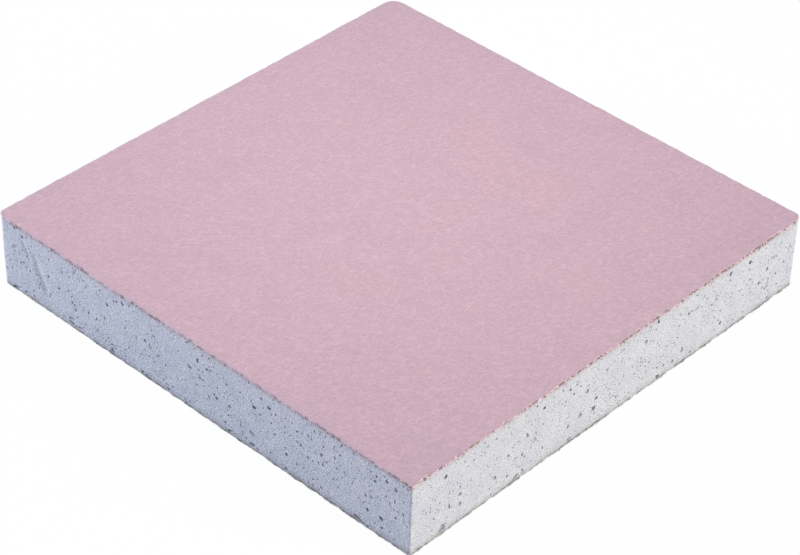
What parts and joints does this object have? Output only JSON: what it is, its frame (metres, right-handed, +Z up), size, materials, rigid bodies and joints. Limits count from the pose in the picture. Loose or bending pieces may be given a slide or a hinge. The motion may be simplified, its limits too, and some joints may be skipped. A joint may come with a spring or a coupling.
{
  "type": "plasterboard sample",
  "caption": "Square saw-cut sample of fire-rated plasterboard: a foamed gypsum core between a pink face paper and a grey-brown back paper.",
  "frame": {"origin": "centre of the underside, the back paper's outer face", "axes": "+Z up through the board to the pink face; X and Y along the square's sides"},
  "size_m": [0.1, 0.1, 0.015],
  "materials": {
    "gypsum": "matte, porous",
    "face_paper": "matte, fibrous",
    "back_paper": "matte, fibrous"
  },
  "bodies": {
    "root": {"gypsum_core": "gypsum", "face_paper": "face_paper", "back_paper": "back_paper"}
  },
  "joints": []
}
